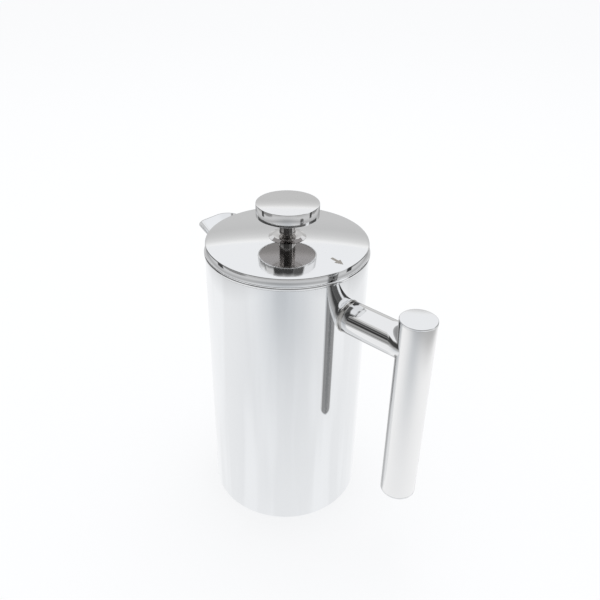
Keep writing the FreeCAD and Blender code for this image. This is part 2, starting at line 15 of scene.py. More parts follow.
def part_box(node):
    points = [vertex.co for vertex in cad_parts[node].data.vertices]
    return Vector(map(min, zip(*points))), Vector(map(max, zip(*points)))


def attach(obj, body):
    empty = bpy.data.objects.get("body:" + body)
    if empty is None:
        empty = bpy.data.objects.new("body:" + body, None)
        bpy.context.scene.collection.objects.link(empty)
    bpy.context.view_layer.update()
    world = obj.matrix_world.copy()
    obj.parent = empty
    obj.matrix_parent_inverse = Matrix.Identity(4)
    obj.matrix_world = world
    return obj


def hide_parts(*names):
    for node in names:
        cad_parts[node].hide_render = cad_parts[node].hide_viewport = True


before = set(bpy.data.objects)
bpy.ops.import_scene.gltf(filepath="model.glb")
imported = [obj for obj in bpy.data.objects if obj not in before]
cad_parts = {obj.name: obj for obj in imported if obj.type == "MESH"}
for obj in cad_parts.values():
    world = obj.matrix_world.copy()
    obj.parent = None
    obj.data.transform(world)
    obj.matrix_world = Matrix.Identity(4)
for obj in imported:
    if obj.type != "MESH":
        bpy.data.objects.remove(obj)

LOG = logging.getLogger("french_press")
STEPS = 256
FINE = 1e-6
UP = Vector((0, 0, 1))


# ------------------------------------------------------------------ finishes


class Lines(Enum):
    """Which way a finish's fine polishing lines run."""

    TURNED = "rings about the upright axis"
    UPRIGHT = "straight up"
    ACROSS = "along the arm"
    NONE = "no direction"


@dataclass(frozen=True)
class Steel:
    """One steel finish: its tone, gloss and the traces that polishing leaves, with painted shade on one
    side and painted dark reflection on edges seen edge on.
    """

    name: str
    tone: tuple[float, float, float]
    roughness: float
    lines: Lines = Lines.NONE
    line_depth: float = 0.02
    line_scale: float = 2500.0
    smudge: float = 0.03
    wear: float = 0.06
    centre: tuple[float, float, float] = (0.0, 0.0, 0.0)
    # Painted shade: the side along shade_side is made darker by this factor.
    shade: float = 1.0
    shade_side: tuple[float, float, float] = (-0.966, 0.259, 0.0)
    shade_reach: tuple[float, float] = (0.0014, 0.0046)
    # Painted dark reflection: metal seen edge on is made darker by this factor.
    painted_edge_shade: float = 1.0
    streaks: float = 0.0

    def material(self) -> bpy.types.Material:
        """Build the node material.

        Returns:
            The material, made once for each finish.
        """
        made = bpy.data.materials.get(self.name)
        if made:
            return made
        made = bpy.data.materials.new(self.name)
        made.use_nodes = True
        tree = made.node_tree
        shader = tree.nodes["Principled BSDF"]
        shader.inputs["Metallic"].default_value = 1.0
        coordinate = tree.nodes.new("ShaderNodeTexCoord")
        mapping = tree.nodes.new("ShaderNodeMapping")
        mapping.inputs["Location"].default_value = [-value for value in self.centre]
        tree.links.new(coordinate.outputs["Object"], mapping.inputs["Vector"])
        place = mapping.outputs["Vector"]
        self._tone(tree, shader, place)
        self._gloss(tree, shader, place)
        self._relief(tree, shader, place)
        return made

    def _noise(self, tree: bpy.types.NodeTree, place: bpy.types.NodeSocket, scale: float,
               detail: float) -> bpy.types.Node:
        """Noise texture on the given coordinates."""
        noise = tree.nodes.new("ShaderNodeTexNoise")
        noise.inputs["Scale"].default_value = scale
        noise.inputs["Detail"].default_value = detail
        tree.links.new(place, noise.inputs["Vector"])
        return noise

    def _tone(self, tree: bpy.types.NodeTree, shader: bpy.types.Node,
              place: bpy.types.NodeSocket) -> None:
        """Slight cloudiness of the metal and brighter rubbed edges, with painted shade on one side,
        painted dark reflection on edges seen edge on, and broad upright streaks.
        """
        cloud = self._noise(tree, place, 24.0, 3.0)
        geometry = tree.nodes.new("ShaderNodeNewGeometry")
        edge = tree.nodes.new("ShaderNodeMapRange")
        edge.inputs["From Min"].default_value = 0.52
        edge.inputs["From Max"].default_value = 0.62
        edge.inputs["To Max"].default_value = self.wear
        tree.links.new(geometry.outputs["Pointiness"], edge.inputs["Value"])
        ramp = tree.nodes.new("ShaderNodeMix")
        ramp.data_type = "RGBA"
        ramp.inputs["A"].default_value = (*[value * 0.975 for value in self.tone], 1.0)
        ramp.inputs["B"].default_value = (*self.tone, 1.0)
        tree.links.new(cloud.outputs["Fac"], ramp.inputs["Factor"])
        rubbed = tree.nodes.new("ShaderNodeMix")
        rubbed.data_type = "RGBA"
        rubbed.inputs["B"].default_value = (0.95, 0.95, 0.95, 1.0)
        tree.links.new(edge.outputs["Result"], rubbed.inputs["Factor"])
        tree.links.new(ramp.outputs["Result"], rubbed.inputs["A"])
        tone = rubbed.outputs["Result"]
        # Painted shade on one side, then painted dark reflection where the metal is seen edge on.
        if self.shade < 1.0:
            tone = self._multiplied(tree, tone, self._shaded_side(tree, place), self.shade)
        if self.painted_edge_shade < 1.0:
            tone = self._multiplied(tree, tone, self._grazing(tree), self.painted_edge_shade)
        if self.streaks > 0.0:
            tone = self._multiplied(tree, tone, self._streaked(tree, place), 1 - self.streaks)
        tree.links.new(tone, shader.inputs["Base Color"])

    def _multiplied(self, tree: bpy.types.NodeTree, tone: bpy.types.NodeSocket,
                    where: bpy.types.NodeSocket, factor: float) -> bpy.types.NodeSocket:
        """Tone that is darker by a factor where a mask says so."""
        mix = tree.nodes.new("ShaderNodeMix")
        mix.data_type = "RGBA"
        mix.blend_type = "MULTIPLY"
        mix.inputs["B"].default_value = (factor, factor, factor, 1.0)
        tree.links.new(where, mix.inputs["Factor"])
        tree.links.new(tone, mix.inputs["A"])
        return mix.outputs["Result"]

    def _shaded_side(self, tree: bpy.types.NodeTree,
                place: bpy.types.NodeSocket) -> bpy.types.NodeSocket:
        """Mask of the side that gets painted shade."""
        inward = tree.nodes.new("ShaderNodeVectorMath")
        inward.operation = "DOT_PRODUCT"
        inward.inputs[1].default_value = self.shade_side
        side = tree.nodes.new("ShaderNodeMapRange")
        side.interpolation_type = "SMOOTHSTEP"
        side.inputs["From Min"].default_value = self.shade_reach[0]
        side.inputs["From Max"].default_value = self.shade_reach[1]
        tree.links.new(place, inward.inputs[0])
        tree.links.new(inward.outputs["Value"], side.inputs["Value"])
        return side.outputs["Result"]

    def _grazing(self, tree: bpy.types.NodeTree) -> bpy.types.NodeSocket:
        """Mask of metal seen edge on, where the tone gets painted dark reflection."""
        weight = tree.nodes.new("ShaderNodeLayerWeight")
        edge = tree.nodes.new("ShaderNodeMapRange")
        edge.interpolation_type = "SMOOTHSTEP"
        edge.inputs["From Min"].default_value = 0.62
        edge.inputs["From Max"].default_value = 0.9
        tree.links.new(weight.outputs["Facing"], edge.inputs["Value"])
        return edge.outputs["Result"]

    def _streaked(self, tree: bpy.types.NodeTree,
                  place: bpy.types.NodeSocket) -> bpy.types.NodeSocket:
        """Mask of broad upright streaks."""
        stretch = tree.nodes.new("ShaderNodeVectorMath")
        stretch.operation = "MULTIPLY"
        stretch.inputs[1].default_value = (70.0, 70.0, 5.0)
        tree.links.new(place, stretch.inputs[0])
        streak = self._noise(tree, stretch.outputs["Vector"], 1.0, 2.0)
        band = tree.nodes.new("ShaderNodeMapRange")
        band.interpolation_type = "SMOOTHSTEP"
        band.inputs["From Min"].default_value = 0.4
        band.inputs["From Max"].default_value = 0.62
        tree.links.new(streak.outputs["Fac"], band.inputs["Value"])
        return band.outputs["Result"]

    def _gloss(self, tree: bpy.types.NodeTree, shader: bpy.types.Node,
               place: bpy.types.NodeSocket) -> None:
        """Roughness with faint wiping smudges."""
        smudge = self._noise(tree, place, 60.0, 5.0)
        spread = tree.nodes.new("ShaderNodeMapRange")
        spread.inputs["From Min"].default_value = 0.35
        spread.inputs["From Max"].default_value = 0.75
        spread.inputs["To Min"].default_value = self.roughness
        spread.inputs["To Max"].default_value = self.roughness + self.smudge
        tree.links.new(smudge.outputs["Fac"], spread.inputs["Value"])
        tree.links.new(spread.outputs["Result"], shader.inputs["Roughness"])

    def _relief(self, tree: bpy.types.NodeTree, shader: bpy.types.Node,
                place: bpy.types.NodeSocket) -> None:
        """Fine lines left by polishing, as a very shallow bump."""
        if self.lines is Lines.NONE:
            scratches = self._noise(tree, place, self.line_scale * 0.2, 4.0)
        else:
            scratches = self._noise(tree, self._directed(tree, place), 1.0, 2.0)
        bump = tree.nodes.new("ShaderNodeBump")
        bump.inputs["Strength"].default_value = self.line_depth
        bump.inputs["Distance"].default_value = 0.0001
        tree.links.new(scratches.outputs["Fac"], bump.inputs["Height"])
        tree.links.new(bump.outputs["Normal"], shader.inputs["Normal"])

    def _directed(self, tree: bpy.types.NodeTree,
                  place: bpy.types.NodeSocket) -> bpy.types.NodeSocket:
        """Coordinates that change fast across the lines and slowly along them."""
        if self.lines is Lines.TURNED:
            parts = tree.nodes.new("ShaderNodeSeparateXYZ")
            flat = tree.nodes.new("ShaderNodeCombineXYZ")
            radius = tree.nodes.new("ShaderNodeVectorMath")
            radius.operation = "LENGTH"
            joined = tree.nodes.new("ShaderNodeCombineXYZ")
            tree.links.new(place, parts.inputs["Vector"])
            tree.links.new(parts.outputs["X"], flat.inputs["X"])
            tree.links.new(parts.outputs["Y"], flat.inputs["Y"])
            tree.links.new(flat.outputs["Vector"], radius.inputs[0])
            tree.links.new(radius.outputs["Value"], joined.inputs["X"])
            tree.links.new(parts.outputs["Z"], joined.inputs["Z"])
            place = joined.outputs["Vector"]
            stretch = (self.line_scale, 1.0, self.line_scale)
        elif self.lines is Lines.UPRIGHT:
            stretch = (self.line_scale, self.line_scale, 12.0)
        else:
            stretch = (12.0, self.line_scale, self.line_scale)
        scale = tree.nodes.new("ShaderNodeVectorMath")
        scale.operation = "MULTIPLY"
        scale.inputs[1].default_value = stretch
        tree.links.new(place, scale.inputs[0])
        return scale.outputs["Vector"]


SHELL = Steel("mirror_shell", (0.885, 0.895, 0.905), 0.035, Lines.UPRIGHT, 0.012, 900.0,
              streaks=0.07)
# The lid, rim and knob get painted dark reflection on their edges seen edge on.
LID = Steel("turned_lid", (0.89, 0.895, 0.9), 0.04, Lines.TURNED, 0.05, 2600.0, 0.02,
            painted_edge_shade=0.35)
RIM = Steel("rim_polish", (0.89, 0.895, 0.9), 0.04, Lines.TURNED, 0.02, 2600.0, 0.02,
            painted_edge_shade=0.22)
KNOB = Steel("knob_polish", (0.89, 0.89, 0.89), 0.05, Lines.TURNED, 0.05, 2600.0, 0.03,
             painted_edge_shade=0.35)
# Painted shade: the knob's underside gets a dark tone.
KNOB_UNDER_SHADED = Steel("knob_underside_painted_shade", (0.40, 0.375, 0.365), 0.06, Lines.TURNED, 0.1, 1800.0)
STEM = Steel("stem_polish", (0.60, 0.585, 0.57), 0.07, Lines.TURNED, 0.02, 1500.0)
FLANGE = Steel("flange_polish", (0.74, 0.735, 0.73), 0.06, Lines.TURNED, 0.02, 1800.0)
# Painted shade on the arm's underside, and painted dark reflection on its edges seen edge on.
TUBE = Steel("arm_polish", (0.88, 0.88, 0.88), 0.04, Lines.ACROSS, 0.03, 1200.0,
             centre=(0.0, 0.0, 0.1548), shade=0.45, shade_side=(0.0, 0.0, -1.0),
             shade_reach=(0.0045, 0.0085), painted_edge_shade=0.4)
# Painted shade on the grip's side that faces the pot.
GRIP = Steel("grip_polish", (0.915, 0.91, 0.905), 0.13, Lines.UPRIGHT, 0.05, 1500.0,
             centre=(0.0968, 0.0, 0.0), shade=0.36)
INSIDE = Steel("brushed_inside", (0.74, 0.74, 0.75), 0.22, Lines.TURNED, 0.25, 1200.0)
FILTER = Steel("stamped_filter", (0.72, 0.72, 0.73), 0.16, Lines.TURNED, 0.15, 1500.0)
WIRE = Steel("filter_wire", (0.7, 0.7, 0.71), 0.2)
ETCH = Steel("etched_mark", (0.44, 0.41, 0.37), 0.5)
# Painted dark reflection on the caps' edges seen edge on.
CAP = Steel("grip_cap_polish", (0.88, 0.885, 0.89), 0.09, Lines.TURNED, 0.12, 2200.0,
            centre=(0.0968, 0.0, 0.0), painted_edge_shade=0.4)
WELD = Steel("weld_bead", (0.78, 0.77, 0.75), 0.14, Lines.NONE, 0.2)


# ------------------------------------------------------------------ mesh tools


@dataclass
class Corner:
    """A point of a turned outline, rounded to a radius."""

    radius: float
    height: float
    fillet: float = 0.0


def to_object(bm: bmesh.types.BMesh, name: str, sharp: float = 35.0) -> bpy.types.Object:
    """Turn a bmesh into a shown object with clean normals.

    Args:
        bm: the mesh, which is freed.
        name: the object's name.
        sharp: edges bent by more than this many degrees stay sharp.

    Returns:
        The new object, at the origin.
    """
    mesh = bpy.data.meshes.new(name)
    bm.to_mesh(mesh)
    bm.free()
    mesh.shade_smooth()
    mesh.set_sharp_from_angle(angle=math.radians(sharp))
    piece = bpy.data.objects.new(name, mesh)
    bpy.context.scene.collection.objects.link(piece)
    return piece


def bake_modifiers(piece: bpy.types.Object) -> None:
    """Replace the piece's mesh by what its modifiers make of it."""
    graph = bpy.context.evaluated_depsgraph_get()
    mesh = bpy.data.meshes.new_from_object(piece.evaluated_get(graph), depsgraph=graph,
                                           preserve_all_data_layers=True)
    piece.modifiers.clear()
    piece.data = mesh


def outline(bm: bmesh.types.BMesh, corners: list[Corner], closed: bool) -> None:
    """Draw a turned outline in the XZ plane and round its corners.

    Args:
        bm: the mesh that receives it.
        corners: the outline's corners in order.
        closed: whether the last corner joins the first.
    """
    points = [bm.verts.new((corner.radius, 0, corner.height)) for corner in corners]
    for pair in zip(points, points[1:]):
        bm.edges.new(pair)
    if closed:
        bm.edges.new((points[-1], points[0]))
    sizes = sorted({corner.fillet for corner in corners if corner.fillet > 0})
    chosen = [[point for point, corner in zip(points, corners) if corner.fillet == size]
              for size in sizes]
    for size, group in zip(sizes, chosen):
        bmesh.ops.bevel(bm, geom=group, offset=size, offset_type="OFFSET", segments=6,
                        profile=0.5, affect="VERTICES", clamp_overlap=True, material=-1)


def turned(name: str, corners: list[Corner], closed: bool = True, steps: int = STEPS,
           axis_x: float = 0.0) -> bpy.types.Object:
    """Spin an outline about an upright axis.

    Args:
        name: the object's name.
        corners: outline in order, in metres.
        closed: False where the outline starts and ends on the axis.
        steps: number of steps of the full turn.
        axis_x: where the axis stands along X.

    Returns:
        The piece, with rounded corners and smooth normals.
    """
    bm = bmesh.new()
    outline(bm, corners, closed)
    bmesh.ops.spin(bm, geom=bm.verts[:] + bm.edges[:], cent=(0, 0, 0), axis=UP,
                   angle=math.tau, steps=steps, use_merge=True, use_duplicate=False)
    bmesh.ops.remove_doubles(bm, verts=bm.verts, dist=FINE)
    bmesh.ops.dissolve_degenerate(bm, dist=FINE, edges=bm.edges)
    bmesh.ops.recalc_face_normals(bm, faces=bm.faces)
    bmesh.ops.translate(bm, verts=bm.verts, vec=(axis_x, 0, 0))
    return to_object(bm, name)


def crown(inner: float, outer: float, low: float, rise: float,
          parts: int = 24) -> list[Corner]:
    """Shallow dome outline from its rim to its middle.

    Args:
        inner: radius where it stops.
        outer: radius of its rim.
        low: height of its rim.
        rise: how much higher it is at the inner radius.
        parts: number of stretches.

    Returns:
        Its points from the rim inwards.
    """
    radius = (rise ** 2 + outer ** 2 - inner ** 2) / (2 * rise)
    centre = low - math.sqrt(max(radius ** 2 - outer ** 2, 0.0))
    for _ in range(6):
        radius = math.hypot(outer, low - centre)
        centre += low + rise - centre - math.sqrt(radius ** 2 - inner ** 2)
    points = []
    for i in range(parts + 1):
        across = outer + (inner - outer) * i / parts
        points.append(Corner(across, centre + math.sqrt(radius ** 2 - across ** 2)))
    return points


def lofted(bm: bmesh.types.BMesh, name: str) -> bpy.types.Object:
    """Close two outlines, one above the other, to a solid.

    Args:
        bm: the mesh that holds only the two outlines.
        name: the object's name.

    Returns:
        The solid.
    """
    bmesh.ops.bridge_loops(bm, edges=bm.edges[:])
    bmesh.ops.holes_fill(bm, edges=bm.edges[:], sides=0)
    bmesh.ops.recalc_face_normals(bm, faces=bm.faces)
    return to_object(bm, name)


def cut(piece: bpy.types.Object, tool: bpy.types.Object) -> None:
    """Take one solid out of another and delete the tool."""
    modifier = piece.modifiers.new("cut", "BOOLEAN")
    modifier.operation = "DIFFERENCE"
    modifier.solver = "EXACT"
    modifier.object = tool
    bake_modifiers(piece)
    piece.data.set_sharp_from_angle(angle=math.radians(35.0))
    bpy.data.objects.remove(tool)


def finish_piece(piece: bpy.types.Object, body: str, steel: Steel,
                 nodes: tuple[str, ...] = ()) -> bpy.types.Object:
    """Dress a new piece and tie it to the frame.

    Args:
        piece: the new object.
        body: the CAD body that it rides on.
        steel: its finish.
        nodes: the CAD nodes that it stands for.

    Returns:
        The same piece.
    """
    if piece.modifiers:
        bake_modifiers(piece)
    piece.data.materials.clear()
    piece.data.materials.append(steel.material())
    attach(piece, body)
    if nodes:
        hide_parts(*nodes)
    LOG.info("%s rides on %s", piece.name, body)
    return piece


def wire_piece(data: bpy.types.Curve, name: str) -> bpy.types.Object:
    """Turn wires drawn as a curve into a mesh piece.

    Args:
        data: the curve, with its wire radius set.
        name: the piece's name.

    Returns:
        The new piece.
    """
    holder = bpy.data.objects.new(name + "_line", data)
    bpy.context.scene.collection.objects.link(holder)
    graph = bpy.context.evaluated_depsgraph_get()
    mesh = bpy.data.meshes.new_from_object(holder.evaluated_get(graph))
    bpy.data.objects.remove(holder)
    mesh.shade_smooth()
    piece = bpy.data.objects.new(name, mesh)
    bpy.context.scene.collection.objects.link(piece)
    return piece


def dress_node(node: str, steel: Steel) -> None:
    """Give a CAD node that stays its finish."""
    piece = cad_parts[node]
    piece.data.materials.clear()
    piece.data.materials.append(steel.material())
    LOG.info("%s keeps its CAD shape", node)


def top_of(node: str) -> float:
    """Highest point of a CAD node."""
    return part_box(node)[1].z


def bottom_of(node: str) -> float:
    """Lowest point of a CAD node."""
    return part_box(node)[0].z


def radius_of(node: str) -> float:
    """Half the depth of a round CAD node."""
    low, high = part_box(node)
    return (high.y - low.y) / 2


# ------------------------------------------------------------------ the press


@dataclass
class Pot:
    """Double-walled pot with its rolled rim, beak spout and base."""

    wall: float = 0.0008
    corner: float = 0.0025
    joint_gap: float = 0.00005
    bead_round: float = 0.0009
    beak_half_width: float = 0.02305
    beak_corner: float = 0.010
    beak_flat: float = 0.0055
    beak_root: tuple[float, float, float] = (0.0012, 0.005, 0.0025)
    root_flat: float = 0.0005
    corner_share: float = 0.72
    corner_steps: int = 16
    overlap: float = 0.0078
    foot_edge: float = 0.0003
    ring_share: float = 0.62
    groove_depth: float = 0.00025
    radius: float = field(default_factory=lambda: radius_of("outer_shell"))
    top: float = field(default_factory=lambda: top_of("outer_shell"))
    spout_reach: float = field(default_factory=lambda: -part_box("pour_spout")[0].x)
    spout_low: float = field(default_factory=lambda: bottom_of("pour_spout"))
    rim_radius: float = field(default_factory=lambda: radius_of("rim_bead"))
    rim_top: float = field(default_factory=lambda: top_of("rim_bead"))
    mouth: float = 0.04835
    plate_radius: float = field(default_factory=lambda: radius_of("base_plate"))

    def build(self) -> None:
        """Make and dress the pot's pieces."""
        self.shell()
        self.rim()
        self.spout()
        self.base()
        dress_node("inner_vessel", INSIDE)

    def beak(self, bm: bmesh.types.BMesh, height: float, reach: float, half: float,
             corner: float, flat: float, grow: float) -> None:
        """Draw the spout's closed outline at one height.

        Args:
            bm: the mesh that receives it.
            height: its height.
            reach: how far its nose stands from the pot's axis.
            half: half its width at its root.
            corner: radius of its two nose corners.
            flat: half the flat between them.
            grow: how much wider than the spout's outside it is.
        """
        root = self.overlap - self.radius
        nose = bm.verts.new((-reach - grow, -(flat + corner + grow), height))
        twin = bm.verts.new((-reach - grow, flat + corner + grow, height))
        lean = math.atan2(half - flat - corner, reach - corner + root)
        back = [bm.verts.new((root, side * (half + grow), height)) for side in (1, -1)]
        for corner_point, side in ((nose, -1), (twin, 1)):
            corner_point.co.y = side * (self.flank(half, reach, corner, flat) + grow / math.cos(lean))
        ring = [back[0], twin, nose, back[1]]
        for i, point in enumerate(ring):
            bm.edges.new((point, ring[(i + 1) % len(ring)]))
        bmesh.ops.bevel(bm, geom=[nose, twin], offset=(corner + grow) * self.corner_share,
                        offset_type="OFFSET", segments=self.corner_steps, profile=0.5, affect="VERTICES",
                        material=-1)

    def flank(self, half: float, reach: float, corner: float, flat: float) -> float:
        """Half width that a flank would have at the nose if it went on straight."""
        run = reach - corner - self.radius + self.overlap
        lean = math.atan2(half - flat, run) - math.asin(corner / math.hypot(half - flat, run))
        return half - math.tan(lean) * (run + corner)

    def beak_solid(self, name: str, grow: float, low: float, high: float) -> bpy.types.Object:
        """Solid between the spout's small root and its wide mouth.

        Args:
            name: the object's name.
            grow: how much wider than the spout's outside it is.
            low: height of its lower end.
            high: height of its upper end.

        Returns:
            The solid.
        """
        bm = bmesh.new()
        reach, half, corner = self.beak_root
        self.beak(bm, low, self.radius + reach, half, corner, self.root_flat, grow)
        self.beak(bm, high, self.spout_reach, self.beak_half_width, self.beak_corner,
                  self.beak_flat, grow)
        return lofted(bm, name)

    def shell(self) -> None:
        """Outer wall, rolled in at the foot."""
        edge = self.plate_radius + self.joint_gap
        piece = turned("shell", [
            Corner(edge, 0.0, self.foot_edge), Corner(self.radius, 0.0, self.corner),
            Corner(self.radius, self.top), Corner(self.radius - self.wall, self.top),
            Corner(self.radius - self.wall, self.wall, self.corner - self.wall),
            Corner(edge, self.wall)])
        cut(piece, self.beak_solid("notch", self.joint_gap, self.spout_low - self.joint_gap,
                                   self.top + self.wall))
        finish_piece(piece, "pot", SHELL, ("outer_shell",))

    def rim(self) -> None:
        """Rolled bead that closes the two walls, open at the spout."""
        piece = turned("rolled_rim", [
            Corner(self.mouth, self.top), Corner(self.rim_radius, self.top, self.bead_round),
            Corner(self.rim_radius, self.rim_top, self.bead_round),
            Corner(self.mouth, self.rim_top, self.bead_round)])
        bm = bmesh.new()
        for height in (self.top - self.wall, self.rim_top + self.wall):
            self.beak(bm, height, self.spout_reach, self.beak_half_width, self.beak_corner,
                      self.beak_flat, self.joint_gap)
        cut(piece, lofted(bm, "gap"))
        finish_piece(piece, "pot", RIM, ("rim_bead",))

    def spout(self) -> None:
        """Sheet beak, which keeps its CAD shape."""
        dress_node("pour_spout", SHELL)

    def base(self) -> None:
        """Base plate with one shallow turned ring."""
        top = top_of("base_plate")
        ring = self.plate_radius * self.ring_share
        depth = self.groove_depth
        piece = turned("base_disc", [
            Corner(0.0, 0.0), Corner(ring - depth * 6, 0.0), Corner(ring - depth * 3, depth),
            Corner(ring, depth), Corner(ring + depth * 3, 0.0),
            Corner(self.plate_radius, 0.0, depth), Corner(self.plate_radius, top),
            Corner(0.0, top)], closed=False)
        finish_piece(piece, "pot", INSIDE, ("base_plate",))


@dataclass
class Handle:
    """Arm tube and closed grip tube."""

    arm_wall: float = 0.0012
    weld: float = 0.0008
    plug_share: float = 2.5
    stretches: int = 6
    cap_edge: float = 0.00045
    seam: float = 0.00012
    bead_points: int = 96
    pot_radius: float = field(default_factory=lambda: radius_of("outer_shell"))
    radius: float = field(default_factory=lambda: radius_of("handle_arm"))
    grip_radius: float = field(default_factory=lambda: radius_of("handle_grip"))
    grip_x: float = field(
        default_factory=lambda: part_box("handle_grip")[1].x - radius_of("handle_grip"))
    height: float = field(
        default_factory=lambda: (top_of("handle_arm") + bottom_of("handle_arm")) / 2)

    def build(self) -> None:
        """Make and dress the handle's pieces."""
        self.arm()
        self.fillet_weld()
        self.grip()

    def tube(self, bm: bmesh.types.BMesh, radius: float, along: int) -> None:
        """Open tube along +X at the arm's height, saddled to the pot and to the grip.

        Args:
            bm: the mesh that receives it.
            radius: the tube's radius.
            along: number of stretches along it.
        """
        ring = bmesh.ops.create_circle(bm, segments=STEPS // 2, radius=radius)["verts"]
        bmesh.ops.rotate(bm, verts=ring, cent=(0, 0, 0), matrix=Matrix.Rotation(
            math.pi / 2, 3, "Y"))
        bmesh.ops.translate(bm, verts=ring, vec=(0, 0, self.height))
        edges = [edge for edge in bm.edges if set(edge.verts) <= set(ring)]
        for step in range(along):
            made = bmesh.ops.extrude_edge_only(bm, edges=edges)["geom"]
            edges = [item for item in made if isinstance(item, bmesh.types.BMEdge)]
            moved = [item for item in made if isinstance(item, bmesh.types.BMVert)]
            for point in moved:
                point.co.x = step + 1.0
        for point in bm.verts:
            if abs(math.hypot(point.co.y, point.co.z - self.height) - radius) > FINE:
                continue
            share = point.co.x / along
            near = math.sqrt(self.pot_radius ** 2 - point.co.y ** 2)
            far = self.grip_x - math.sqrt(self.grip_radius ** 2 - point.co.y ** 2)
            point.co.x = near + (far - near) * share

    def arm(self) -> None:
        """Arm tube with its bore."""
        bm = bmesh.new()
        self.tube(bm, self.radius, self.stretches)
        bmesh.ops.recalc_face_normals(bm, faces=bm.faces)
        outside = sum((face.normal.dot(face.calc_center_median() - Vector(
            (face.calc_center_median().x, 0, self.height))) for face in bm.faces))
        if outside < 0:
            bmesh.ops.reverse_faces(bm, faces=bm.faces)
        piece = to_object(bm, "arm_tube")
        modifier = piece.modifiers.new("bore", "SOLIDIFY")
        modifier.thickness = self.arm_wall
        modifier.offset = -1
        finish_piece(piece, "pot", TUBE, ("handle_arm",))

    def fillet_weld(self) -> None:
        """Fine weld bead along the saddle where the arm meets the pot."""
        data = bpy.data.curves.new("bead_line", "CURVE")
        data.dimensions = "3D"
        data.bevel_depth = self.weld / 2
        data.bevel_resolution = 2
        line = data.splines.new("POLY")
        line.points.add(self.bead_points - 1)
        line.use_cyclic_u = True
        for i, point in enumerate(line.points):
            turn = math.tau * i / self.bead_points
            side = self.radius * math.cos(turn)
            point.co = (math.sqrt(self.pot_radius ** 2 - side ** 2) + self.seam, side,
                        self.height + self.radius * math.sin(turn), 1)
        finish_piece(wire_piece(data, "weld_bead"), "pot", WELD,
                     ("arm_weld",))

    def grip(self) -> None:
        """Grip tube and its two caps, parted by a hairline seam."""
        low, high = bottom_of("handle_grip"), top_of("handle_grip")
        inside = self.grip_radius - self.arm_wall
        piece = turned("grip_tube", [
            Corner(inside, low), Corner(self.grip_radius, low, self.seam),
            Corner(self.grip_radius, high, self.seam), Corner(inside, high)],
            steps=STEPS // 2, axis_x=self.grip_x)
        finish_piece(piece, "pot", GRIP, ("handle_grip",))
        for name, node, face, end in (("grip_cap_high", "grip_top_cap", high, top_of("grip_top_cap")),
                                      ("grip_cap_low", "grip_bottom_cap", low,
                                       bottom_of("grip_bottom_cap"))):
            plug = face - (end - face) * self.plug_share
            piece = turned(name, [
                Corner(0.0, plug), Corner(inside - self.seam, plug),
                Corner(inside - self.seam, face), Corner(self.grip_radius, face, self.seam),
                Corner(self.grip_radius, end, self.cap_edge), Corner(0.0, end)],
                closed=False, steps=STEPS // 2, axis_x=self.grip_x)
            finish_piece(piece, "pot", CAP, (node,))


